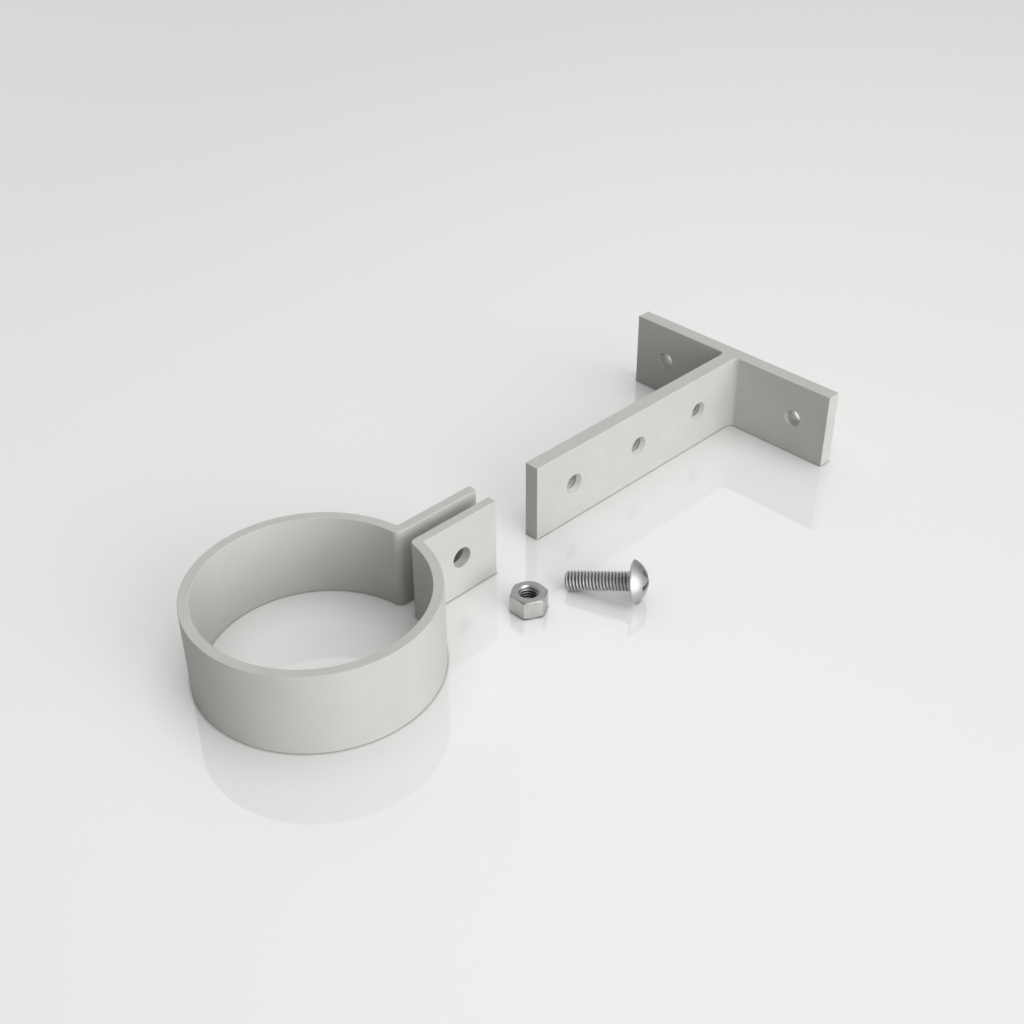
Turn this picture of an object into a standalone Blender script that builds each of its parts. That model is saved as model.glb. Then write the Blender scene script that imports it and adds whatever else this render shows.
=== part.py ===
"""Pipe clip with a T wall bracket, knocked down into its four pieces and laid out on a flat surface.

A strip is bent into a pipe ring with two flat ears. The ears straddle the arm of a T-shaped wall
bracket, and a cross-recess pan-head bolt and a hex nut clamp them there, at one of three arm holes.

Metres, +Z up. X runs along the bracket's arm, from the pipe ring to the wall plate. The origin is the
middle of the layout's footprint, on the surface that the four pieces lie on.
"""

import math

import bmesh
import bpy
from mathutils import Matrix, Vector

MM = 0.001

# Pipe ring, a strip bent to a circle with two parallel ears
PIPE_BORE = 64.0 * MM
RING_THICKNESS = 3.0 * MM
STRIP_HEIGHT = 26.0 * MM
EAR_LENGTH = 27.4 * MM
EAR_HOLE_FROM_END = 13.7 * MM
EAR_SLIP = 0.1 * MM
EAR_CORNER_RADIUS = 2.0 * MM
EAR_ROOT_RADIUS = 0.8 * MM

# Wall bracket, a flat arm joined to the middle of a wall plate
ARM_THICKNESS = 5.0 * MM
ARM_LENGTH = 94.7 * MM
ARM_HOLES = 3
ARM_HOLE_SPACING = 30.0 * MM
ARM_HOLE_FROM_END = 16.3 * MM
PLATE_THICKNESS = 5.0 * MM
PLATE_WIDTH = 80.5 * MM
PLATE_HOLE_FROM_END = 13.0 * MM
PLATE_SCREW_BORE = 5.3 * MM
TEE_FILLET = 1.8 * MM

# Countersunk mouths of the bracket's holes
MOUTH_OVER_THREAD = 0.6 * MM
MOUTH_OVER_SCREW_BORE = 0.8 * MM
MOUTH_ANGLE = math.radians(60)

# Metric thread of the bolt, the nut and the arm's holes, which have its tapping bore. The shares are
# of the pitch for the crest's flat, and of the full V's height for the depths
THREAD_DIAMETER = 6.0 * MM
THREAD_PITCH = 1.0 * MM
THREAD_PLAY = 0.1 * MM
THREAD_FLANK = math.radians(30)
CREST_SHARE = 1 / 8
BOLT_DEPTH_SHARE = 17 / 24
TAPPED_DEPTH_SHARE = 5 / 8
EAR_HOLE_PLAY = 0.4 * MM

# Pan-head bolt
BOLT_LENGTH = 20.0 * MM
BOLT_TIP_CHAMFER = 0.6 * MM
THREAD_RUN_OUT = 2.0 * MM
HEAD_DIAMETER = 12.7 * MM
HEAD_HEIGHT = 4.2 * MM
HEAD_RIM_HEIGHT = 0.3 * MM
RECESS_SPAN = 7.4 * MM
RECESS_WING = 1.5 * MM
RECESS_DEPTH = 2.9 * MM
RECESS_TAPER = math.radians(26.5)
RECESS_TURN = math.radians(92)

# Hex nut
NUT_ACROSS_FLATS = 10.0 * MM
NUT_HEIGHT = 6.0 * MM
NUT_FACE_SHARE = 0.95
NUT_CHAMFER_ANGLE = math.radians(30)
NUT_MOUTH = 0.05 * MM

# Layout of the four pieces. Offsets are from the ends of the ears
BRACKET_GAP = 20.2 * MM
NUT_OFFSET = (-5.1 * MM, -23.9 * MM)
NUT_TURN = math.radians(30.7)
BOLT_TIP_OFFSET = (9.6 * MM, -25.8 * MM)
BOLT_HEADING = math.radians(-59.1)

# Finish
EDGE_BREAK = 0.2 * MM
EDGE_SEGMENTS = 2
RING_SEGMENTS = 96
BEND_SEGMENTS = 8
HOLE_SEGMENTS = 32
THREAD_SEGMENTS = 24
HEAD_SEGMENTS = 48
CROWN_SEGMENTS = 10
CUT_MARGIN = 1.0 * MM
MERGE = 0.001 * MM
SMOOTH_ANGLE = math.radians(32)

RING_RADIUS = PIPE_BORE / 2 + RING_THICKNESS
EAR_GAP = ARM_THICKNESS + EAR_SLIP
EAR_END = RING_RADIUS + EAR_LENGTH
THREAD_RADIUS = THREAD_DIAMETER / 2
THREAD_HEIGHT = THREAD_PITCH / (2 * math.tan(THREAD_FLANK))
HEAD_RADIUS = HEAD_DIAMETER / 2
CROWN_RISE = HEAD_HEIGHT - HEAD_RIM_HEIGHT
CROWN_RADIUS = (HEAD_RADIUS**2 + CROWN_RISE**2) / (2 * CROWN_RISE)
CROWN_CENTRE = HEAD_HEIGHT - CROWN_RADIUS


# Scene and object helpers


def clear_scene():
    for obj in list(bpy.data.objects):
        bpy.data.objects.remove(obj)


def new_collection(name):
    collection = bpy.data.collections.new(name)
    bpy.context.scene.collection.children.link(collection)
    return collection


def new_object(name, data, collection):
    obj = bpy.data.objects.new(name, data)
    collection.objects.link(obj)
    return obj


def evaluated_mesh(obj):
    graph = bpy.context.evaluated_depsgraph_get()
    return bpy.data.meshes.new_from_object(obj.evaluated_get(graph))


def bake(obj):
    """Turns an object's modifiers into its mesh, and shades it smooth up to its real edges."""
    mesh = evaluated_mesh(obj)
    obj.modifiers.clear()
    obj.data = mesh
    mesh.name = obj.name
    mesh.shade_smooth()
    mesh.set_sharp_from_angle(angle=SMOOTH_ANGLE)


def metal(name, colour, roughness, metallic):
    material = bpy.data.materials.new(name)
    material.use_nodes = True
    shader = material.node_tree.nodes["Principled BSDF"]
    shader.inputs["Base Color"].default_value = (*colour, 1.0)
    shader.inputs["Roughness"].default_value = roughness
    shader.inputs["Metallic"].default_value = metallic
    return material


def add_boolean(obj, tool, operation):
    modifier = obj.modifiers.new(tool.name, "BOOLEAN")
    modifier.operation = operation
    modifier.solver = "EXACT"
    modifier.object = tool
    tool.parent = obj


def add_edge_break(obj):
    modifier = obj.modifiers.new("edge_break", "BEVEL")
    modifier.width = EDGE_BREAK
    modifier.segments = EDGE_SEGMENTS
    modifier.limit_method = "ANGLE"


def as_tool(obj):
    """Marks an object as a cutter, which takes no part in a render or in the build."""
    obj.hide_render = True
    obj.display_type = "WIRE"
    return obj


# Shapes


def arc(centre_x, centre_y, radius, start, end, segments):
    """Points of an arc, both ends included."""
    points = []
    for step in range(segments + 1):
        angle = start + (end - start) * step / segments
        points.append((centre_x + radius * math.cos(angle), centre_y + radius * math.sin(angle)))
    return points


def mirrored_loop(half):
    """Closes half an outline, given above the X axis, with its mirror image below."""
    return half + [(x, -y) for x, y in reversed(half)]


def plate(name, outline, height, collection):
    """A flat outline raised from Z = 0 to the height, with its outer edges broken."""
    curve = bpy.data.curves.new(name, "CURVE")
    curve.dimensions = "2D"
    curve.fill_mode = "BOTH"
    curve.extrude = height / 2
    spline = curve.splines.new("POLY")
    spline.points.add(len(outline) - 1)
    for point, (x, y) in zip(spline.points, outline):
        point.co = (x, y, 0, 1)
    spline.use_cyclic_u = True
    guide = new_object(name + "_outline", curve, collection)
    mesh = evaluated_mesh(guide)
    bpy.data.objects.remove(guide)
    shape = bmesh.new()
    shape.from_mesh(mesh)
    bmesh.ops.remove_doubles(shape, verts=shape.verts, dist=MERGE)
    bmesh.ops.dissolve_limit(shape, angle_limit=math.radians(0.1), verts=shape.verts, edges=shape.edges)
    bmesh.ops.translate(shape, vec=(0, 0, height / 2), verts=shape.verts)
    bmesh.ops.recalc_face_normals(shape, faces=shape.faces)
    shape.to_mesh(mesh)
    shape.free()
    obj = new_object(name, mesh, collection)
    add_edge_break(obj)
    return obj


def profile_line(name, profile, collection):
    """One line of edges through (radius, height) points, to be turned about Z."""
    points = [(radius, 0, height) for radius, height in profile]
    mesh = bpy.data.meshes.new(name)
    mesh.from_pydata(points, [(i, i + 1) for i in range(len(points) - 1)], [])
    return new_object(name, mesh, collection)


def add_turn(obj, segments):
    modifier = obj.modifiers.new("turn", "SCREW")
    modifier.steps = segments
    modifier.render_steps = segments
    modifier.use_merge_vertices = True
    modifier.merge_threshold = MERGE
    return modifier


def turned(name, profile, segments, collection):
    """A body turned about Z from a profile that is listed from the axis's bottom to its top."""
    obj = profile_line(name, reversed(profile), collection)
    add_turn(obj, segments)
    return obj


def threaded_rod(name, crest_radius, root_radius, length, collection):
    """A rod along +Z with a helical V thread, longer than it is needed, to be trimmed by a Boolean.

    One pitch of the thread's section is turned into a helix that joins itself at each turn.
    """
    flank = (crest_radius - root_radius) * math.tan(THREAD_FLANK)
    crest = THREAD_PITCH * CREST_SHARE
    section = [
        (crest_radius, THREAD_PITCH),
        (crest_radius, THREAD_PITCH - crest),
        (root_radius, THREAD_PITCH - crest - flank),
        (root_radius, flank),
        (crest_radius, 0),
    ]
    guide = profile_line(name + "_section", section, collection)
    modifier = add_turn(guide, THREAD_SEGMENTS)
    modifier.screw_offset = THREAD_PITCH
    modifier.iterations = math.ceil(length / THREAD_PITCH) + 1
    mesh = evaluated_mesh(guide)
    bpy.data.objects.remove(guide)

    shape = bmesh.new()
    shape.from_mesh(mesh)
    bmesh.ops.remove_doubles(shape, verts=shape.verts, dist=MERGE)
    ends = [edge for edge in shape.edges if edge.is_boundary]
    middle = sum(vert.co.z for vert in shape.verts) / len(shape.verts)
    for side in (-1, 1):
        rim = [edge for edge in ends if (edge.verts[0].co.z - middle) * side > 0]
        tip = shape.verts.new((0, 0, middle + side * (length + 3 * THREAD_PITCH) / 2))
        for edge in rim:
            shape.faces.new((edge.verts[0], edge.verts[1], tip))
    bmesh.ops.recalc_face_normals(shape, faces=shape.faces)
    bmesh.ops.translate(shape, vec=(0, 0, -middle), verts=shape.verts)
    shape.to_mesh(mesh)
    shape.free()
    return new_object(name, mesh, collection)


def external_root_radius():
    return THREAD_RADIUS - THREAD_HEIGHT * BOLT_DEPTH_SHARE


def tapped_radii():
    """Crest and root radius of the tap that cuts an inside thread."""
    crest = THREAD_RADIUS + THREAD_PLAY / 2
    return crest, crest - THREAD_HEIGHT * TAPPED_DEPTH_SHARE


def hole_tool(name, bore_radius, front_mouth, back_mouth, depth, collection):
    """A turned cutter for a hole through Z = 0 to the depth, with a countersunk mouth at each end."""
    slope = math.tan(MOUTH_ANGLE / 2)
    front = (front_mouth - bore_radius) / slope
    back = (back_mouth - bore_radius) / slope
    out = CUT_MARGIN * slope
    profile = [
        (0, -CUT_MARGIN),
        (front_mouth + out, -CUT_MARGIN),
        (bore_radius, front),
        (bore_radius, depth - back),
        (back_mouth + out, depth + CUT_MARGIN),
        (0, depth + CUT_MARGIN),
    ]
    return as_tool(turned(name, profile, HOLE_SEGMENTS, collection))


# The four pieces


def ear_bend(ring_radius, bend_radius, face_y):
    """Arc that leads from the ring to an ear's face, and the angle on the ring where it starts."""
    centre_y = face_y + bend_radius
    centre_x = math.sqrt((ring_radius + bend_radius) ** 2 - centre_y**2)
    angle = math.atan2(centre_y, centre_x)
    bend = arc(centre_x, centre_y, bend_radius, math.pi + angle, 1.5 * math.pi, BEND_SEGMENTS)
    return bend, angle


def strip_side(ring_radius, bend_radius, face_y):
    """One side of the bent strip, from the ring's far point round to the ear's end."""
    bend, angle = ear_bend(ring_radius, bend_radius, face_y)
    ring = arc(0, 0, ring_radius, math.pi, angle, RING_SEGMENTS // 2)
    return ring + bend[1:] + [(EAR_END, face_y)]


def make_pipe_ring(parts, cutters):
    inner = strip_side(PIPE_BORE / 2, EAR_CORNER_RADIUS, EAR_GAP / 2)
    outer = strip_side(RING_RADIUS, EAR_ROOT_RADIUS, EAR_GAP / 2 + RING_THICKNESS)
    # The loop runs round the outside, over both ears' ends and back along the inside
    upper = list(reversed(outer[1:]))
    lower = [(x, -y) for x, y in outer]
    inside = list(reversed([(x, -y) for x, y in inner[1:]])) + inner
    ring = plate("pipe_ring", upper + lower + inside, STRIP_HEIGHT, parts)

    across_ears = EAR_GAP + 2 * RING_THICKNESS
    bore = (THREAD_DIAMETER + EAR_HOLE_PLAY) / 2
    mouth = bore + EDGE_BREAK / 2
    tool = hole_tool("ear_hole", bore, mouth, mouth, across_ears, cutters)
    tool.location = (EAR_END - EAR_HOLE_FROM_END, -across_ears / 2, STRIP_HEIGHT / 2)
    tool.rotation_euler = (-math.pi / 2, 0, 0)
    add_boolean(ring, tool, "DIFFERENCE")
    return ring


def make_wall_bracket(parts, cutters):
    """The bracket, with the end of its arm at X = 0."""
    half = ARM_THICKNESS / 2
    fillet = arc(ARM_LENGTH - TEE_FILLET, half + TEE_FILLET, TEE_FILLET, -math.pi / 2, 0, BEND_SEGMENTS)
    upper = [(0, half)] + fillet
    upper += [(ARM_LENGTH, PLATE_WIDTH / 2), (ARM_LENGTH + PLATE_THICKNESS, PLATE_WIDTH / 2)]
    bracket = plate("wall_bracket", mirrored_loop(upper), STRIP_HEIGHT, parts)

    tapping_bore = tapped_radii()[1]
    mouth = (THREAD_DIAMETER + MOUTH_OVER_THREAD) / 2
    for index in range(ARM_HOLES):
        tool = hole_tool(f"arm_hole_{index + 1}", tapping_bore, mouth, mouth, ARM_THICKNESS, cutters)
        tool.location = (ARM_HOLE_FROM_END + index * ARM_HOLE_SPACING, -half, STRIP_HEIGHT / 2)
        tool.rotation_euler = (-math.pi / 2, 0, 0)
        add_boolean(bracket, tool, "DIFFERENCE")

    screw = PLATE_SCREW_BORE / 2
    screw_mouth = screw + MOUTH_OVER_SCREW_BORE / 2
    for side, word in ((-1, "right"), (1, "left")):
        tool = hole_tool("plate_hole_" + word, screw, screw_mouth, screw, PLATE_THICKNESS, cutters)
        tool.location = (ARM_LENGTH, side * (PLATE_WIDTH / 2 - PLATE_HOLE_FROM_END), STRIP_HEIGHT / 2)
        tool.rotation_euler = (0, math.pi / 2, 0)
        add_boolean(bracket, tool, "DIFFERENCE")
    return bracket


def recess_tool(collection):
    """A cross with four wings that taper with depth, standing over the crown of the head."""
    span_height = CROWN_CENTRE + math.sqrt(CROWN_RADIUS**2 - (RECESS_SPAN / 2) ** 2)
    levels = (HEAD_HEIGHT + CUT_MARGIN, HEAD_HEIGHT - RECESS_DEPTH)
    shape = bmesh.new()
    rings = []
    for height in levels:
        reach = RECESS_SPAN / 2 + (height - span_height) * math.tan(RECESS_TAPER)
        wing = RECESS_WING / 2
        quarter = [(reach, -wing), (reach, wing), (wing, wing)]
        ring = []
        for turn in range(4):
            spin = Matrix.Rotation(RECESS_TURN + turn * math.pi / 2, 3, "Z")
            ring += [shape.verts.new(spin @ Vector((x, y, height))) for x, y in quarter]
        rings.append(ring)
    top, bottom = rings
    shape.faces.new(top)
    shape.faces.new(reversed(bottom))
    for i in range(len(top)):
        shape.faces.new((top[i - 1], bottom[i - 1], bottom[i], top[i]))
    bmesh.ops.recalc_face_normals(shape, faces=shape.faces)
    mesh = bpy.data.meshes.new("recess")
    shape.to_mesh(mesh)
    shape.free()
    return as_tool(new_object("recess", mesh, collection))


def make_clamp_bolt(parts, cutters):
    """The bolt, head up, with the head's bearing face at Z = 0."""
    root = external_root_radius()
    bolt = threaded_rod("clamp_bolt", THREAD_RADIUS, root, BOLT_LENGTH, parts)
    bolt.data.transform(Matrix.Translation((0, 0, -BOLT_LENGTH / 2)))
    tip = -BOLT_LENGTH
    shank = [
        (0, tip),
        (THREAD_RADIUS - BOLT_TIP_CHAMFER, tip),
        (THREAD_RADIUS + CUT_MARGIN, tip + BOLT_TIP_CHAMFER + CUT_MARGIN),
        (THREAD_RADIUS + CUT_MARGIN, HEAD_HEIGHT / 2),
        (0, HEAD_HEIGHT / 2),
    ]
    add_boolean(bolt, as_tool(turned("bolt_shank", shank, HEAD_SEGMENTS, cutters)), "INTERSECT")

    neck = root - THREAD_PLAY
    run_out = [(0, -THREAD_RUN_OUT), (neck, -THREAD_RUN_OUT), (THREAD_RADIUS - THREAD_PLAY, 0)]
    bearing_face = [(HEAD_RADIUS - EDGE_BREAK, 0), (HEAD_RADIUS, EDGE_BREAK)]
    rim_angle = math.acos(HEAD_RADIUS / CROWN_RADIUS)
    crown = arc(0, CROWN_CENTRE, CROWN_RADIUS, rim_angle, math.pi / 2, CROWN_SEGMENTS)
    head = run_out + bearing_face + crown
    add_boolean(bolt, as_tool(turned("bolt_head", head, HEAD_SEGMENTS, cutters)), "UNION")
    add_boolean(bolt, recess_tool(cutters), "DIFFERENCE")
    return bolt


def make_hex_nut(parts, cutters):
    """The nut, lying flat on Z = 0."""
    corner_radius = NUT_ACROSS_FLATS / (2 * math.cos(math.pi / 6))
    shape = bmesh.new()
    size = {"radius1": corner_radius, "radius2": corner_radius, "depth": NUT_HEIGHT}
    bmesh.ops.create_cone(shape, cap_ends=True, segments=6, **size)
    bmesh.ops.translate(shape, vec=(0, 0, NUT_HEIGHT / 2), verts=shape.verts)
    mesh = bpy.data.meshes.new("hex_nut")
    shape.to_mesh(mesh)
    shape.free()
    nut = new_object("hex_nut", mesh, parts)

    face_radius = NUT_ACROSS_FLATS / 2 * NUT_FACE_SHARE
    outer = corner_radius + CUT_MARGIN
    rise = (outer - face_radius) * math.tan(NUT_CHAMFER_ANGLE)
    lower = [(0, 0), (face_radius, 0), (outer, rise)]
    upper = [(outer, NUT_HEIGHT - rise), (face_radius, NUT_HEIGHT), (0, NUT_HEIGHT)]
    add_boolean(nut, as_tool(turned("nut_barrel", lower + upper, HEAD_SEGMENTS, cutters)), "INTERSECT")

    crest, root = tapped_radii()
    mouth = crest + NUT_MOUTH
    drill = hole_tool("nut_drill", root - THREAD_PLAY / 2, mouth, mouth, NUT_HEIGHT, cutters)
    tap = as_tool(threaded_rod("nut_tap", crest, root, NUT_HEIGHT, cutters))
    tap.location.z = NUT_HEIGHT / 2
    add_boolean(drill, tap, "UNION")
    add_boolean(nut, drill, "DIFFERENCE")
    return nut


# Layout


def bolt_placement():
    """Lays the bolt down: it rests on the rim of its head and on the first full thread at its tip."""
    first_thread = BOLT_LENGTH - BOLT_TIP_CHAMFER
    lift = math.atan2(HEAD_RADIUS - THREAD_RADIUS, first_thread + EDGE_BREAK)
    turn = Matrix.Rotation(BOLT_HEADING, 4, "Z") @ Matrix.Rotation(math.pi / 2 - lift, 4, "Y")
    contact = Vector((EAR_END + BOLT_TIP_OFFSET[0], BOLT_TIP_OFFSET[1], THREAD_RADIUS * math.cos(lift)))
    return Matrix.Translation(contact) @ turn @ Matrix.Translation((0, 0, first_thread))


def centre_footprint(pieces, origin):
    """Moves the origin empty so that the layout's footprint is centred and its underside is at Z = 0."""
    bpy.context.view_layer.update()
    corners = [piece.matrix_world @ vert.co for piece in pieces for vert in piece.data.vertices]
    low = [min(corner[axis] for corner in corners) for axis in range(3)]
    high = [max(corner[axis] for corner in corners) for axis in range(3)]
    origin.location = (-(low[0] + high[0]) / 2, -(low[1] + high[1]) / 2, -low[2])


def main():
    clear_scene()
    parts = new_collection("pipe_clip")
    cutters = new_collection("cutters")
    coat = metal("coated_steel", (0.62, 0.62, 0.59), 0.45, 0.1)
    steel = metal("stainless_steel", (0.55, 0.55, 0.54), 0.25, 1.0)

    ring = make_pipe_ring(parts, cutters)
    bracket = make_wall_bracket(parts, cutters)
    bolt = make_clamp_bolt(parts, cutters)
    nut = make_hex_nut(parts, cutters)
    for piece, material in ((ring, coat), (bracket, coat), (bolt, steel), (nut, steel)):
        bake(piece)
        piece.data.materials.clear()
        piece.data.materials.append(material)

    bracket.location.x = EAR_END + BRACKET_GAP
    nut.location = (EAR_END + NUT_OFFSET[0], NUT_OFFSET[1], 0)
    nut.rotation_euler.z = NUT_TURN
    bolt.matrix_world = bolt_placement()
    origin = new_object("clip_origin", None, parts)
    pieces = (ring, bracket, bolt, nut)
    for piece in pieces:
        piece.parent = origin
    centre_footprint(pieces, origin)


main()
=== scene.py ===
"""Looks of the knocked-down pipe clip: its four pieces, finely modelled, on a pale polished floor.

Metres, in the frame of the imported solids. Each piece replaces its solid and takes its place from it.
"""

import math

import bmesh
import bpy
from mathutils import Matrix, Vector


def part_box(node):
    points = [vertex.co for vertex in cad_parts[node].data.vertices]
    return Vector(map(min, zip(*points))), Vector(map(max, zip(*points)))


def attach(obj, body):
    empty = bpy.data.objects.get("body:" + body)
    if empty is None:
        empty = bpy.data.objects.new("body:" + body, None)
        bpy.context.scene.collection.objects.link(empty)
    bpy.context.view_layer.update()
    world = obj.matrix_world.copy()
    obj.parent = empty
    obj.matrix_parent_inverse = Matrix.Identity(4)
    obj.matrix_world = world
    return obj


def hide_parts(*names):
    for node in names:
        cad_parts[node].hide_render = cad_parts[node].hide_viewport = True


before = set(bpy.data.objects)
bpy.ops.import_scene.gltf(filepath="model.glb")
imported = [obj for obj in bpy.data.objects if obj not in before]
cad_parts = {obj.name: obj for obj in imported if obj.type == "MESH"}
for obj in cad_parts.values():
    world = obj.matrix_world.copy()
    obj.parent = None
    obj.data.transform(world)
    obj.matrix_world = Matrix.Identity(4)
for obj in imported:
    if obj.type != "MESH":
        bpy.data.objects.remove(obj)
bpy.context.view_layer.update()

MM = 0.001

# Pipe ring
RING_RADIUS = 35.0 * MM
RING_THICKNESS = 3.0 * MM
EAR_GAP = 5.1 * MM
EAR_CORNER_RADIUS = 2.0 * MM
EAR_ROOT_RADIUS = 0.8 * MM
EAR_HOLE_RADIUS = 3.2 * MM
EAR_HOLE_FROM_END = 13.7 * MM

# Wall bracket
ARM_THICKNESS = 5.0 * MM
ARM_HOLES = 3
ARM_HOLE_SPACING = 30.0 * MM
ARM_HOLE_FROM_END = 16.3 * MM
ARM_MOUTH_RADIUS = 3.3 * MM
PLATE_THICKNESS = 5.0 * MM
PLATE_HOLE_FROM_END = 13.0 * MM
PLATE_BORE_RADIUS = 2.65 * MM
PLATE_MOUTH_RADIUS = 3.05 * MM
TEE_FILLET = 1.8 * MM
MOUTH_SLOPE = math.tan(math.radians(30))

# Thread, shared by the bolt, the nut and the arm's holes
PITCH = 1.0 * MM
THREAD_RADIUS = 3.0 * MM
THREAD_DEPTH = 0.6134 * PITCH
THREAD_PLAY = 0.05 * MM
CREST_SHARE = 0.125
ROOT_SHARE = 0.2
# Points of a flank, as shares of its width and of the thread's depth
FLANK_POINTS = ((0.05, 0.02), (0.5, 0.5), (0.95, 0.92))
# The rounded root rises by this share of the depth, at this share of its width from its middle
ROOT_RISE = 0.015
ROOT_RISE_AT = 0.3

# Bolt, laid down with the rim of its head and its first full thread on the floor
BOLT_LENGTH = 20.0 * MM
BOLT_TIP_CHAMFER = 0.6 * MM
BOLT_TIP_FROM_EARS = (9.6 * MM, -25.8 * MM)
BOLT_HEADING = math.radians(-59.1)
NECK_RADIUS = THREAD_RADIUS - 0.05 * MM
RUN_OUT = 2.0 * MM
HEAD_RADIUS = 6.35 * MM
HEAD_HEIGHT = 4.2 * MM
HEAD_RIM_HEIGHT = 0.3 * MM
HEAD_RIM_ROUND = 0.2 * MM
CROWN_RISE = HEAD_HEIGHT - HEAD_RIM_HEIGHT
CROWN_RADIUS = (HEAD_RADIUS**2 + CROWN_RISE**2) / (2 * CROWN_RISE)
CROWN_CENTRE = HEAD_HEIGHT - CROWN_RADIUS
RECESS_SPAN = 7.4 * MM
RECESS_WING = 1.5 * MM
RECESS_DEPTH = 2.9 * MM
RECESS_TAPER = math.radians(26.5)
RECESS_TURN = math.radians(92)

# Nut
NUT_FLAT_RADIUS = 5.0 * MM
NUT_FACE_SHARE = 0.95
NUT_CHAMFER_SLOPE = math.tan(math.radians(30))
NUT_EDGE_BREAK = 0.12 * MM
NUT_MOUTH = 0.05 * MM
NUT_THREAD_START = 0.95 * MM
NUT_TURN = math.radians(30.7)

# Fineness of the meshes
EDGE_BREAK = 0.2 * MM
SMOOTH_UP_TO = math.radians(35)
RING_SEGMENTS = 256
BEND_SEGMENTS = 16
HOLE_SEGMENTS = 96
THREAD_SEGMENTS = 96
HEAD_RIM_SEGMENTS = 4
CROWN_SEGMENTS = 24
NUT_BARREL_SEGMENTS = 192
CUT_MARGIN = 1.0 * MM
MERGE = 0.0005 * MM

# Places, from the solids
ring_low, ring_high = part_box("pipe_ring")
bracket_low, bracket_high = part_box("wall_bracket")
nut_low, nut_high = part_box("hex_nut")
RING_CENTRE = Vector((ring_low.x + RING_RADIUS, (bracket_low.y + bracket_high.y) / 2, 0))
STRIP_HEIGHT = ring_high.z - ring_low.z
EAR_END = ring_high.x - RING_CENTRE.x
NUT_HEIGHT = nut_high.z - nut_low.z

# Finishes: their tones, the ends of their roughness, and the scales of their clouds and grain
COAT_TONES = ((0.585, 0.591, 0.56, 1), (0.615, 0.621, 0.59, 1))
COAT_ROUGHNESS = (0.5, 0.62)
COAT_CLOUD = 90
COAT_GRAIN = 1500
COAT_RELIEF = 0.02 * MM
COAT_RELIEF_SHARE = 0.35
BOLT_TONES = ((0.66, 0.66, 0.65, 1), (0.72, 0.72, 0.71, 1))
BOLT_ROUGHNESS = (0.44, 0.52)
NUT_TONES = ((0.53, 0.53, 0.52, 1), (0.59, 0.59, 0.58, 1))
NUT_ROUGHNESS = (0.38, 0.46)
STEEL_CLOUD = 400
STEEL_GRAIN = 2500
STEEL_RELIEF = 0.01 * MM
STEEL_RELIEF_SHARE = 0.05
# The near-black tone that the steel's painted shade goes towards
STEEL_SHADE_TONE = (0.02, 0.02, 0.02, 1)
CLOUD_DETAIL = 3
GRAIN_DETAIL = 2
# The noise is spread between these values of its own
NOISE_LOW = 0.3
NOISE_HIGH = 0.7

# How far painted shade takes some places of the steel towards its dark tone
BOLT_HEAD_PAINTED_SHADE = 0.24
NUT_LEVEL_PAINTED_SHADE = 0.35
NUT_DEPTH_PAINTED_SHADE = 0.6
VALLEY_PAINTED_SHADE = 0.75
# Where a valley's painted shade begins and is full, as shares of the thread's depth from its widest
# radius
BOLT_VALLEY = (0.4, 1.0)
NUT_VALLEY = (0.7, 0.1)
# The nut's painted shade in its bore is full this near to its middle, and gone this near to its faces
NUT_DEEPEST = 0.5 * MM
NUT_MOUTH_CLEAR = 0.3 * MM
# A face is level where its normal rises more than this
LEVEL = 0.95

# Floor
FLOOR_RADIUS = 4.0
FLOOR_SEGMENTS = 96
FLOOR_TONE = (0.68, 0.68, 0.6715, 1)
FLOOR_BOUNCE = (0.55, 0.55, 0.54, 1)
FLOOR_GLOSS = 1.0
# The floor's own glow: even at the far end, with painted light rising towards the near end
FLOOR_GLOW_FAR = 0.13
FLOOR_GLOW_NEAR = 0.31
FLOOR_NEAR_AT = -200 * MM
FLOOR_FAR_AT = 400 * MM
FLOOR_FADE_POWER = 1.5
# Painted contact shadow: how near the pieces the floor darkens, in its colour and in its glow
FLOOR_CONTACT_SHADOW_REACH = 0.9 * MM
# Painted shade on the floor's glow: how far from the pieces it reaches
FLOOR_SHELTER_SHADE_REACH = 14 * MM
OPENNESS_SAMPLES = 4
WHITE = (1, 1, 1, 1)
SHADOW_BLACK = (0, 0, 0, 1)

# Light, as soft glows in dim surroundings: azimuth from +X towards +Y, elevation, strength
WORLD_BASE = 0.01
GLOW_SHARPNESS = 10
WORLD_GLOWS = (
    (-90, 12, 4.6),
    (-120, 12, 0.75),
    (-90, 40, 0.9),
    (-45, 40, 0.7),
    (-90, 70, 0.55),
    (0, 70, 0.52),
    (180, 12, 0.5),
    (90, 12, 0.65),
    (30, 12, 0.25),
    (45, 40, 1.0),
    (90, 40, 0.5),
)

# Camera, at the photograph's place over the ring
CAMERA_TARGET = Vector((87.612 * MM, 13.426 * MM, 0))
CAMERA_DISTANCE = 449.463 * MM
CAMERA_PITCH = math.radians(35.2688)
CAMERA_YAW = math.radians(45.4009)
CAMERA_ROLL = math.radians(0.3658)
CAMERA_SENSOR = 36.0
CAMERA_LENS = 50.185


# Helpers for meshes


def add_object(name, data):
    obj = bpy.data.objects.new(name, data)
    bpy.context.scene.collection.objects.link(obj)
    return obj


def evaluated_mesh(obj):
    graph = bpy.context.evaluated_depsgraph_get()
    return bpy.data.meshes.new_from_object(obj.evaluated_get(graph))


def bake(obj):
    """Applies an object's modifiers and removes the cutters that they used."""
    tools = [modifier.object for modifier in obj.modifiers if modifier.type == "BOOLEAN"]
    mesh = evaluated_mesh(obj)
    obj.modifiers.clear()
    obj.data = mesh
    for tool in tools:
        bpy.data.objects.remove(tool)


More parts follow.
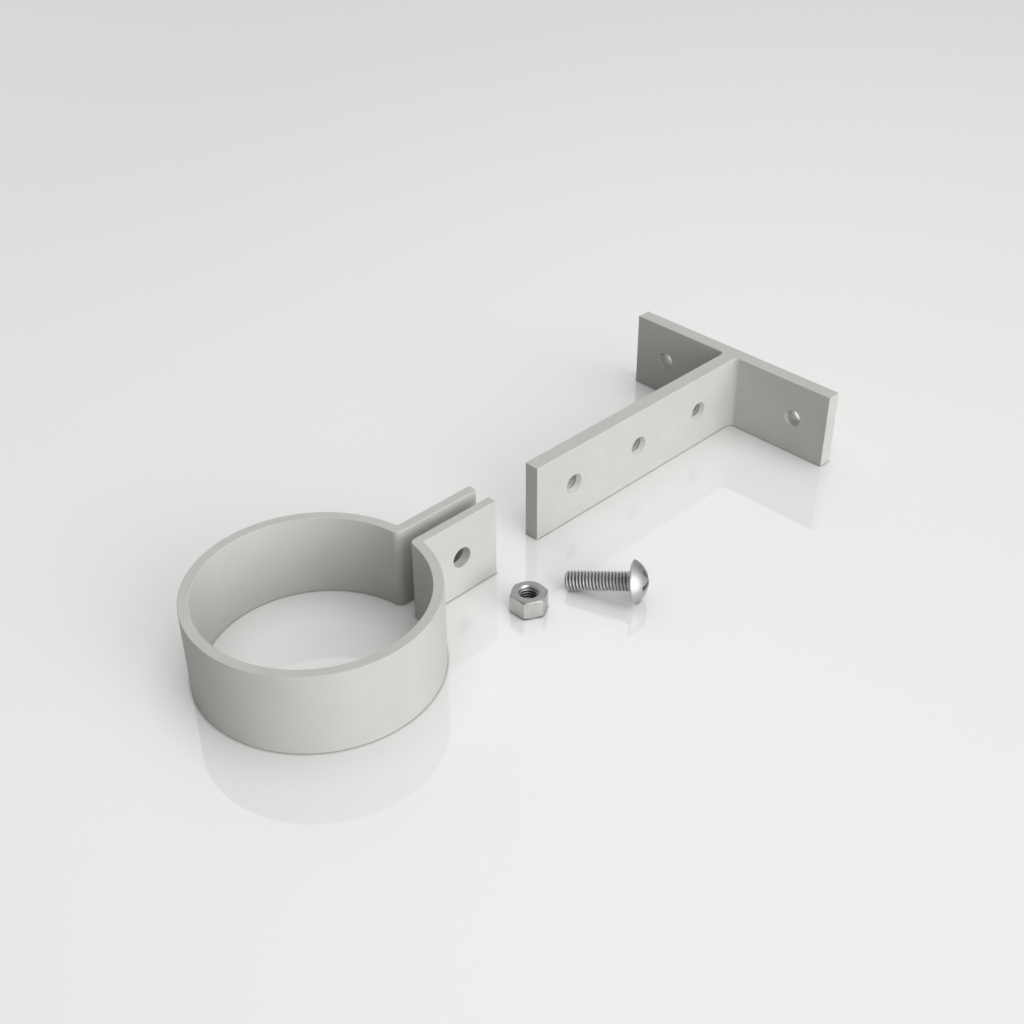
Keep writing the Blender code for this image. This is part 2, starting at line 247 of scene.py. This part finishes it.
def boolean(obj, tool, operation="DIFFERENCE"):
    modifier = obj.modifiers.new(tool.name, "BOOLEAN")
    modifier.operation = operation
    modifier.solver = "EXACT"
    modifier.object = tool


def edge_break(obj, width=EDGE_BREAK, segments=3, angle=math.radians(30)):
    """Rounds off the edges that turn by more than the angle."""
    modifier = obj.modifiers.new("edge_break", "BEVEL")
    modifier.width = width
    modifier.segments = segments
    modifier.limit_method = "ANGLE"
    modifier.angle_limit = angle


def smooth(obj):
    """Smooth shading up to the real edges, with the flat faces kept flat."""
    obj.data.shade_smooth()
    obj.data.set_sharp_from_angle(angle=SMOOTH_UP_TO)
    modifier = obj.modifiers.new("flat_faces", "WEIGHTED_NORMAL")
    modifier.keep_sharp = True
    modifier.weight = 100
    bake(obj)


def arc(centre_x, centre_y, radius, start, end, segments):
    points = []
    for step in range(segments + 1):
        angle = start + (end - start) * step / segments
        points.append((centre_x + radius * math.cos(angle), centre_y + radius * math.sin(angle)))
    return points


def plate(name, outline, height):
    """A flat outline raised from Z = 0 to the height, with its outer edges broken."""
    curve = bpy.data.curves.new(name, "CURVE")
    curve.dimensions = "2D"
    curve.fill_mode = "BOTH"
    curve.extrude = height / 2
    spline = curve.splines.new("POLY")
    spline.points.add(len(outline) - 1)
    for point, (x, y) in zip(spline.points, outline):
        point.co = (x, y, 0, 1)
    spline.use_cyclic_u = True
    guide = add_object(name + "_outline", curve)
    mesh = evaluated_mesh(guide)
    bpy.data.objects.remove(guide)
    shape = bmesh.new()
    shape.from_mesh(mesh)
    bmesh.ops.remove_doubles(shape, verts=shape.verts, dist=MERGE)
    flat = math.radians(0.1)
    bmesh.ops.dissolve_limit(shape, angle_limit=flat, verts=shape.verts, edges=shape.edges)
    bmesh.ops.translate(shape, vec=(0, 0, height / 2), verts=shape.verts)
    bmesh.ops.recalc_face_normals(shape, faces=shape.faces)
    shape.to_mesh(mesh)
    shape.free()
    obj = add_object(name, mesh)
    edge_break(obj)
    return obj


def ring_of(shape, radius, height, segments):
    points = []
    for step in range(segments):
        angle = 2 * math.pi * step / segments
        points.append(shape.verts.new((radius * math.cos(angle), radius * math.sin(angle), height)))
    return points


def bridge(shape, lower, upper):
    for i in range(len(lower)):
        shape.faces.new((lower[i - 1], lower[i], upper[i], upper[i - 1]))


def finished(shape, name):
    """Makes a bmesh an object, with its points joined and its faces outward."""
    bmesh.ops.remove_doubles(shape, verts=shape.verts, dist=MERGE)
    bmesh.ops.recalc_face_normals(shape, faces=shape.faces)
    mesh = bpy.data.meshes.new(name)
    shape.to_mesh(mesh)
    shape.free()
    return add_object(name, mesh)


def turned(name, profile, segments):
    """A body turned about Z from (radius, height) points, from the lowest ring to the highest."""
    shape = bmesh.new()
    rings = [ring_of(shape, radius, height, segments) for radius, height in profile]
    for lower, upper in zip(rings, rings[1:]):
        bridge(shape, lower, upper)
    shape.faces.new(reversed(rings[0]))
    shape.faces.new(rings[-1])
    return finished(shape, name)


def thread_section(crest_radius):
    """(share of a pitch, radius) once along one pitch, with a flat crest and a rounded root."""
    root = crest_radius - THREAD_DEPTH
    start = CREST_SHARE / 2
    flank = (1 - CREST_SHARE - ROOT_SHARE) / 2
    middle = start + flank + ROOT_SHARE / 2
    section = [(0.0, crest_radius), (start, crest_radius)]
    for along, down in FLANK_POINTS:
        section.append((start + flank * along, crest_radius - THREAD_DEPTH * down))
    section += [(middle - ROOT_SHARE * ROOT_RISE_AT, root + THREAD_DEPTH * ROOT_RISE), (middle, root)]
    mirrored = [(1 - share, radius) for share, radius in reversed(section[1:-1])]
    return section + mirrored


def threaded(name, bottom, top, section, trim):
    """A closed right-hand thread about Z.

    trim(radius, height) limits its radius, to a single one at either end.
    """
    shape = bmesh.new()
    per_turn = len(section)
    rows = []
    for turn in range(math.floor(bottom / PITCH) - 2, math.ceil(top / PITCH) + 2):
        for share, radius in section:
            row = []
            for step in range(THREAD_SEGMENTS):
                part = step / THREAD_SEGMENTS
                height = min(max(PITCH * (turn + share + part), bottom), top)
                reach = trim(radius, height)
                angle = 2 * math.pi * part
                point = (reach * math.cos(angle), reach * math.sin(angle), height)
                row.append(shape.verts.new(point))
            rows.append(row)
    for i in range(len(rows) - 1 - per_turn):
        lower, upper = rows[i], rows[i + 1]
        for j in range(THREAD_SEGMENTS - 1):
            shape.faces.new((lower[j], lower[j + 1], upper[j + 1], upper[j]))
        # The last facet of a turn meets the first one of the next turn
        shape.faces.new((lower[-1], rows[i + per_turn][0], rows[i + 1 + per_turn][0], upper[-1]))
    bmesh.ops.remove_doubles(shape, verts=shape.verts, dist=MERGE)
    for height in (bottom, top):
        rim = [
            edge
            for edge in shape.edges
            if edge.is_boundary and abs(edge.verts[0].co.z - height) < MERGE
        ]
        bmesh.ops.contextual_create(shape, geom=rim)
    loose = [vert for vert in shape.verts if not vert.link_faces]
    bmesh.ops.delete(shape, geom=loose, context="VERTS")
    return finished(shape, name)


def bore_tool(name, bore, front_mouth, back_mouth, depth):
    """A cutter for a hole through Z = 0 to the depth, with a countersunk mouth at each end."""
    out = CUT_MARGIN * MOUTH_SLOPE
    front = (front_mouth - bore) / MOUTH_SLOPE
    back = (back_mouth - bore) / MOUTH_SLOPE
    profile = [(front_mouth + out, -CUT_MARGIN), (bore, front)]
    profile += [(bore, depth - back), (back_mouth + out, depth + CUT_MARGIN)]
    return turned(name, profile, HOLE_SEGMENTS)


def tapped_tool(name, mouth, depth, start=0.0):
    """A threaded cutter for a hole through Z = 0 to the depth, with countersunk mouths.

    The start is how far the thread reaches up into the mouths.
    """
    crest = THREAD_RADIUS + THREAD_PLAY
    bore = crest - THREAD_DEPTH

    def trim(radius, height):
        cone = mouth - min(height, depth - height) * MOUTH_SLOPE
        under_start = start + (bore - cone) / MOUTH_SLOPE
        if under_start < 0:
            return cone
        return max(cone, min(radius, max(bore, cone) + under_start))

    section = [(share, min(crest, radius)) for share, radius in thread_section(crest)]
    return threaded(name, -CUT_MARGIN, depth + CUT_MARGIN, section, trim)


# The four pieces


def strip_side(ring_radius, bend_radius, face_y):
    """One side of the bent strip, from the ring's far point round to the ear's end."""
    centre_y = face_y + bend_radius
    centre_x = math.sqrt((ring_radius + bend_radius) ** 2 - centre_y**2)
    angle = math.atan2(centre_y, centre_x)
    ring = arc(0, 0, ring_radius, math.pi, angle, RING_SEGMENTS // 2)
    bend = arc(centre_x, centre_y, bend_radius, math.pi + angle, 1.5 * math.pi, BEND_SEGMENTS)
    return ring + bend[1:] + [(EAR_END, face_y)]


def make_ring():
    inner = strip_side(RING_RADIUS - RING_THICKNESS, EAR_CORNER_RADIUS, EAR_GAP / 2)
    outer = strip_side(RING_RADIUS, EAR_ROOT_RADIUS, EAR_GAP / 2 + RING_THICKNESS)
    upper = list(reversed(outer[1:]))
    lower = [(x, -y) for x, y in outer]
    inside = [(x, -y) for x, y in reversed(inner[1:])] + inner
    ring = plate("ring_piece", upper + lower + inside, STRIP_HEIGHT)
    width = EAR_GAP + 2 * RING_THICKNESS
    mouth = EAR_HOLE_RADIUS + EDGE_BREAK / 2
    tool = bore_tool("ear_hole", EAR_HOLE_RADIUS, mouth, mouth, width)
    tool.location = (EAR_END - EAR_HOLE_FROM_END, -width / 2, STRIP_HEIGHT / 2)
    tool.rotation_euler = (-math.pi / 2, 0, 0)
    boolean(ring, tool)
    bake(ring)
    ring.data.transform(Matrix.Translation(RING_CENTRE))
    smooth(ring)
    return ring


def make_bracket():
    half = ARM_THICKNESS / 2
    arm_end = bracket_low.x
    front = bracket_high.x - PLATE_THICKNESS
    middle = (bracket_low.y + bracket_high.y) / 2
    side = (bracket_high.y - bracket_low.y) / 2
    fillet = arc(front - TEE_FILLET, half + TEE_FILLET, TEE_FILLET, -math.pi / 2, 0, BEND_SEGMENTS)
    upper = [(arm_end, half)] + fillet + [(front, side), (bracket_high.x, side)]
    outline = upper + [(x, -y) for x, y in reversed(upper)]
    bracket = plate("bracket_piece", outline, STRIP_HEIGHT)
    for index in range(ARM_HOLES):
        tool = tapped_tool(f"arm_hole_{index}", ARM_MOUTH_RADIUS, ARM_THICKNESS)
        x = arm_end + ARM_HOLE_FROM_END + index * ARM_HOLE_SPACING
        tool.location = (x, -half, STRIP_HEIGHT / 2)
        tool.rotation_euler = (-math.pi / 2, 0, 0)
        boolean(bracket, tool)
    bore, mouth = PLATE_BORE_RADIUS, PLATE_MOUTH_RADIUS
    for sign in (-1, 1):
        tool = bore_tool("plate_hole", bore, mouth, bore, PLATE_THICKNESS)
        tool.location = (front, sign * (side - PLATE_HOLE_FROM_END), STRIP_HEIGHT / 2)
        tool.rotation_euler = (0, math.pi / 2, 0)
        boolean(bracket, tool)
    bake(bracket)
    bracket.data.transform(Matrix.Translation((0, middle, 0)))
    smooth(bracket)
    return bracket


def recess_tool():
    """A cross with four wings that taper with depth, standing over the crown of the head."""
    span_height = CROWN_CENTRE + math.sqrt(CROWN_RADIUS**2 - (RECESS_SPAN / 2) ** 2)
    shape = bmesh.new()
    rings = []
    for height in (HEAD_HEIGHT - RECESS_DEPTH, HEAD_HEIGHT + CUT_MARGIN):
        reach = RECESS_SPAN / 2 + (height - span_height) * math.tan(RECESS_TAPER)
        wing = RECESS_WING / 2
        ring = []
        for turn in range(4):
            spin = Matrix.Rotation(RECESS_TURN + turn * math.pi / 2, 3, "Z")
            for x, y in ((reach, -wing), (reach, wing), (wing, wing)):
                ring.append(shape.verts.new(spin @ Vector((x, y, height))))
        rings.append(ring)
    bridge(shape, *rings)
    shape.faces.new(reversed(rings[0]))
    shape.faces.new(rings[1])
    return finished(shape, "recess")


def bolt_place():
    """Lays the bolt on the rim of its head and on the first full thread at its tip."""
    first_thread = BOLT_LENGTH - BOLT_TIP_CHAMFER
    lift = math.atan2(HEAD_RADIUS - THREAD_RADIUS, first_thread + EDGE_BREAK)
    turn = Matrix.Rotation(BOLT_HEADING, 4, "Z") @ Matrix.Rotation(math.pi / 2 - lift, 4, "Y")
    contact = RING_CENTRE + Vector((EAR_END + BOLT_TIP_FROM_EARS[0], BOLT_TIP_FROM_EARS[1], 0))
    contact.z = THREAD_RADIUS * math.cos(lift)
    return Matrix.Translation(contact) @ turn @ Matrix.Translation((0, 0, first_thread))


def make_bolt():
    """The bolt, made head up with the head's bearing face at Z = 0, and then laid down."""
    rim = HEAD_RIM_ROUND
    rim_angle = math.acos(HEAD_RADIUS / CROWN_RADIUS)
    head = [(THREAD_RADIUS, 0)]
    head += arc(HEAD_RADIUS - rim, rim, rim, -math.pi / 2, 0, HEAD_RIM_SEGMENTS)
    head += arc(0, CROWN_CENTRE, CROWN_RADIUS, rim_angle, math.pi / 2, CROWN_SEGMENTS)[:-1]
    bolt = turned("bolt_piece", head, THREAD_SEGMENTS)
    boolean(bolt, recess_tool())

    root = THREAD_RADIUS - THREAD_DEPTH
    tip = -BOLT_LENGTH

    def trim(radius, height):
        chamfer = THREAD_RADIUS - BOLT_TIP_CHAMFER + height - tip
        run_out = NECK_RADIUS + height * (NECK_RADIUS - root) / RUN_OUT
        return min(max(radius, min(run_out, NECK_RADIUS)), chamfer)

    shank = threaded("shank", tip, HEAD_RIM_HEIGHT, thread_section(THREAD_RADIUS), trim)
    boolean(bolt, shank, "UNION")
    bake(bolt)
    smooth(bolt)
    bolt.data.transform(bolt_place())
    return bolt


def nut_place():
    middle = Vector(((nut_low.x + nut_high.x) / 2, (nut_low.y + nut_high.y) / 2, nut_low.z))
    return Matrix.Translation(middle) @ Matrix.Rotation(NUT_TURN, 4, "Z")


def make_nut():
    """The nut, made about Z = 0 and then put in its place."""
    corner = NUT_FLAT_RADIUS / math.cos(math.pi / 6)
    nut = turned("nut_piece", [(corner, 0), (corner, NUT_HEIGHT)], 6)
    face = NUT_FLAT_RADIUS * NUT_FACE_SHARE
    outer = corner + CUT_MARGIN
    rise = (outer - face) * NUT_CHAMFER_SLOPE
    profile = [(face, 0), (outer, rise), (outer, NUT_HEIGHT - rise), (face, NUT_HEIGHT)]
    barrel = turned("barrel", profile, NUT_BARREL_SEGMENTS)
    # Half a facet round, so that no edge of the barrel meets a corner of the nut
    barrel.data.transform(Matrix.Rotation(math.pi / NUT_BARREL_SEGMENTS, 4, "Z"))
    boolean(nut, barrel, "INTERSECT")
    edge_break(nut, NUT_EDGE_BREAK, segments=2, angle=math.radians(20))
    bake(nut)
    mouth = THREAD_RADIUS + THREAD_PLAY + NUT_MOUTH
    boolean(nut, tapped_tool("nut_tap", mouth, NUT_HEIGHT, NUT_THREAD_START))
    bake(nut)
    smooth(nut)
    nut.data.transform(nut_place())
    return nut


# Materials


class Graph:
    """The nodes of a material or world. What its methods add, they return as an output.

    Every input is a plain value or the output of another node.
    """

    def __init__(self, owner):
        owner.use_nodes = True
        self.nodes = owner.node_tree.nodes
        self.links = owner.node_tree.links

    def feed(self, socket, value):
        if isinstance(value, bpy.types.NodeSocket):
            self.links.new(value, socket)
        else:
            socket.default_value = value

    def add(self, kind, output, inputs=None, **settings):
        node = self.nodes.new("ShaderNode" + kind)
        for name, value in settings.items():
            setattr(node, name, value)
        for name, value in (inputs or {}).items():
            self.feed(node.inputs[name], value)
        return node.outputs[output]

    def math(self, operation, first, second=0.0):
        return self.add("Math", "Value", {0: first, 1: second}, operation=operation)

    def vector(self, operation, output, first, second=(0, 0, 0)):
        return self.add("VectorMath", output, {0: first, 1: second}, operation=operation)

    def dot(self, first, second):
        return self.vector("DOT_PRODUCT", "Value", first, second)

    def coordinates(self, kind="Object"):
        return self.add("TexCoord", kind)

    def mapped(self, value, low, high, start=NOISE_LOW, end=NOISE_HIGH):
        """Runs from low, where the value is at the start, to high, where it is at the end."""
        ends = {"From Min": start, "From Max": end, "To Min": low, "To Max": high}
        return self.add("MapRange", "Result", {"Value": value, **ends})

    def mixed(self, share, first, second):
        colours = {"A": first, "B": second}
        return self.add("Mix", "Result", {"Factor": share, **colours}, data_type="RGBA")

    def noise(self, scale, detail):
        settings = {"Vector": self.coordinates(), "Scale": scale, "Detail": detail}
        return self.add("TexNoise", "Fac", settings)

    def clouded(self, scale, tones):
        """A colour that drifts between two tones."""
        return self.mixed(self.mapped(self.noise(scale, CLOUD_DETAIL), 0.0, 1.0), *tones)

    def grained(self, shader, scale, roughness, relief, share):
        """Gives a shader a fine grain, in its roughness and its relief."""
        grain = self.noise(scale, GRAIN_DETAIL)
        self.feed(shader.inputs["Roughness"], self.mapped(grain, *roughness))
        height = {"Height": grain, "Distance": relief, "Strength": share}
        self.feed(shader.inputs["Normal"], self.add("Bump", "Normal", height))

    def openness(self, distance):
        """How open a surface is to what stands within a distance of it."""
        return self.add("AmbientOcclusion", "AO", {"Distance": distance}, samples=OPENNESS_SAMPLES)

    def from_axis(self, place):
        """A point's distance from the axis of a piece at that place, and its height along it."""
        inputs = {
            "Vector": self.coordinates(),
            "Location": place.translation,
            "Rotation": place.to_euler(),
        }
        along = self.add("Mapping", "Vector", inputs, vector_type="TEXTURE")
        across = self.vector("MULTIPLY", "Vector", along, (1, 1, 0))
        return self.vector("LENGTH", "Value", across), self.dot(along, (0, 0, 1))


def new_surface(name):
    material = bpy.data.materials.new(name)
    graph = Graph(material)
    return material, graph, graph.nodes["Principled BSDF"]


def coated_metal():
    material, graph, shader = new_surface("coated_metal")
    graph.feed(shader.inputs["Base Color"], graph.clouded(COAT_CLOUD, COAT_TONES))
    graph.grained(shader, COAT_GRAIN, COAT_ROUGHNESS, COAT_RELIEF, COAT_RELIEF_SHARE)
    return material


def bolt_painted_shade(graph):
    """How much painted shade darkens the bolt's head, and the valleys of its thread."""
    radius, height = graph.from_axis(bolt_place())
    # Painted shade in the thread's valleys, growing from the crest side down to the root
    begin, full = [THREAD_RADIUS - THREAD_DEPTH * share for share in BOLT_VALLEY]
    valley = graph.mapped(radius, 0.0, VALLEY_PAINTED_SHADE, begin, full)
    shank = graph.math("MULTIPLY", graph.math("LESS_THAN", height, 0.0), valley)
    # Painted shade: the whole head is darker, to tone down its highlight
    head = graph.math("MULTIPLY", graph.math("GREATER_THAN", height, 0.0), BOLT_HEAD_PAINTED_SHADE)
    return graph.math("ADD", shank, head)


def nut_painted_shade(graph):
    """How much painted shade darkens the nut's level faces against its flats, and its thread where it
    is deep.
    """
    # Painted shade: the nut's level faces, top and bottom, are darker than its flats
    rise = graph.math("ABSOLUTE", graph.dot(graph.coordinates("Normal"), (0, 0, 1)))
    face = graph.math("MULTIPLY", graph.math("GREATER_THAN", rise, LEVEL), NUT_LEVEL_PAINTED_SHADE)

    # Painted shade in the bore: the thread darkens in its valleys and deeper in the nut, but not near
    # its faces
    radius, height = graph.from_axis(nut_place())
    root = THREAD_RADIUS + THREAD_PLAY
    begin, full = [root - THREAD_DEPTH * share for share in NUT_VALLEY]
    valley = graph.mapped(radius, 0.0, VALLEY_PAINTED_SHADE, begin, full)
    half = NUT_HEIGHT / 2
    start = half - NUT_THREAD_START
    from_middle = graph.math("ABSOLUTE", graph.math("SUBTRACT", height, half))
    depth = graph.mapped(from_middle, NUT_DEPTH_PAINTED_SHADE, 0.0, NUT_DEEPEST, start)
    inside = graph.mapped(from_middle, 1.0, 0.0, start, half - NUT_MOUTH_CLEAR)
    in_bore = graph.math("LESS_THAN", radius, root + NUT_MOUTH)
    thread = graph.math("MULTIPLY", graph.math("ADD", valley, depth), inside)
    return graph.math("MAXIMUM", face, graph.math("MULTIPLY", thread, in_bore))


def stainless(name, tones, roughness, shade):
    """Bare steel between two tones. The shade function says where, and how much, painted shade makes
    it darker.
    """
    material, graph, shader = new_surface(name)
    shader.inputs["Metallic"].default_value = 1.0
    # The clouded tone, taken towards the shade tone where the painted shade falls
    tone = graph.mixed(shade(graph), graph.clouded(STEEL_CLOUD, tones), STEEL_SHADE_TONE)
    graph.feed(shader.inputs["Base Color"], tone)
    graph.grained(shader, STEEL_GRAIN, roughness, STEEL_RELIEF, STEEL_RELIEF_SHARE)
    return material


def floor_material():
    """A polished pale floor.

    Part of the tone it shows is a glow of its own, even far off and rising towards the near end as
    painted light falling off, so that shadows on it stay light. Painted shade dims that glow near the
    pieces, and a painted contact shadow darkens its colour where they stand.
    """
    material, graph, shader = new_surface("floor")
    path = graph.nodes.new("ShaderNodeLightPath").outputs
    seen = graph.math("MAXIMUM", path["Is Camera Ray"], path["Is Glossy Ray"])
    seen = graph.math("MAXIMUM", seen, path["Is Transmission Ray"])
    # Painted contact shadow: the floor's colour goes to black right where the pieces stand on it
    contact = graph.openness(FLOOR_CONTACT_SHADOW_REACH)
    tone_with_painted_shadow = graph.mixed(contact, SHADOW_BLACK, FLOOR_TONE)
    graph.feed(shader.inputs["Base Color"], graph.mixed(seen, FLOOR_BOUNCE, tone_with_painted_shadow))

    # Painted light: the glow rises towards the near (-Y) end, as light falling off from the lamps'
    # side
    away = graph.dot(graph.coordinates(), (0, 1, 0))
    near = graph.mapped(away, 0.0, 1.0, FLOOR_FAR_AT, FLOOR_NEAR_AT)
    near = graph.math("POWER", near, FLOOR_FADE_POWER)
    gain = graph.math("MULTIPLY", near, FLOOR_GLOW_NEAR - FLOOR_GLOW_FAR)
    plain = graph.math("ADD", gain, FLOOR_GLOW_FAR)
    # Painted shade dims the glow near the pieces; rays that are not camera, glossy or transmission
    # rays get none of it
    for share in (contact, graph.openness(FLOOR_SHELTER_SHADE_REACH), seen):
        plain = graph.math("MULTIPLY", plain, share)
    graph.feed(shader.inputs["Emission Strength"], plain)
    shader.inputs["Emission Color"].default_value = WHITE
    shader.inputs["Roughness"].default_value = 0.0
    shader.inputs["Specular IOR Level"].default_value = FLOOR_GLOSS
    return material


# Stage


def make_floor():
    shape = bmesh.new()
    bmesh.ops.create_circle(shape, cap_ends=True, segments=FLOOR_SEGMENTS, radius=FLOOR_RADIUS)
    mesh = bpy.data.meshes.new("floor")
    shape.to_mesh(mesh)
    shape.free()
    floor = add_object("floor", mesh)
    floor.data.materials.append(floor_material())


def make_camera():
    forward = Vector((math.cos(CAMERA_YAW), math.sin(CAMERA_YAW), 0)) * math.cos(CAMERA_PITCH)
    forward.z = -math.sin(CAMERA_PITCH)
    level = Vector((math.sin(CAMERA_YAW), -math.cos(CAMERA_YAW), 0))
    down = forward.cross(level)
    right = level * math.cos(CAMERA_ROLL) + down * math.sin(CAMERA_ROLL)
    up = level * math.sin(CAMERA_ROLL) - down * math.cos(CAMERA_ROLL)
    data = bpy.data.cameras.new("camera")
    data.sensor_width = CAMERA_SENSOR
    data.lens = CAMERA_LENS
    camera = add_object("camera", data)
    place = RING_CENTRE + CAMERA_TARGET - forward * CAMERA_DISTANCE
    turn = Matrix((right, up, -forward)).transposed().to_4x4()
    camera.matrix_world = Matrix.Translation(place) @ turn
    bpy.context.scene.camera = camera


def make_world():
    """Dim surroundings with soft glows in them."""
    world = bpy.data.worlds.new("studio")
    graph = Graph(world)
    where = graph.coordinates("Generated")
    total = WORLD_BASE
    for azimuth, elevation, strength in WORLD_GLOWS:
        turn, rise = math.radians(azimuth), math.radians(elevation)
        level = math.cos(rise)
        direction = (math.cos(turn) * level, math.sin(turn) * level, math.sin(rise))
        facing = graph.math("MAXIMUM", graph.dot(where, direction), 0.0)
        glow = graph.math("POWER", facing, GLOW_SHARPNESS)
        total = graph.math("ADD", graph.math("MULTIPLY", glow, strength), total)
    background = graph.nodes["Background"]
    graph.feed(background.inputs["Strength"], total)
    background.inputs["Color"].default_value = WHITE
    bpy.context.scene.world = world


def main():
    coat = coated_metal()
    bolt_steel = stainless("bolt_steel", BOLT_TONES, BOLT_ROUGHNESS, bolt_painted_shade)
    nut_steel = stainless("nut_steel", NUT_TONES, NUT_ROUGHNESS, nut_painted_shade)
    pieces = (
        (make_ring(), "pipe_ring", coat, "coated_steel"),
        (make_bracket(), "wall_bracket", coat, "coated_steel"),
        (make_bolt(), "clamp_bolt", bolt_steel, "stainless_steel"),
        (make_nut(), "hex_nut", nut_steel, "stainless_steel"),
    )
    for piece, node, material, slot in pieces:
        piece.data.materials.clear()
        piece.data.materials.append(material)
        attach(piece, "root")
        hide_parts(node)
    make_floor()
    make_camera()
    make_world()
    bpy.context.scene.view_settings.view_transform = "Standard"


main()
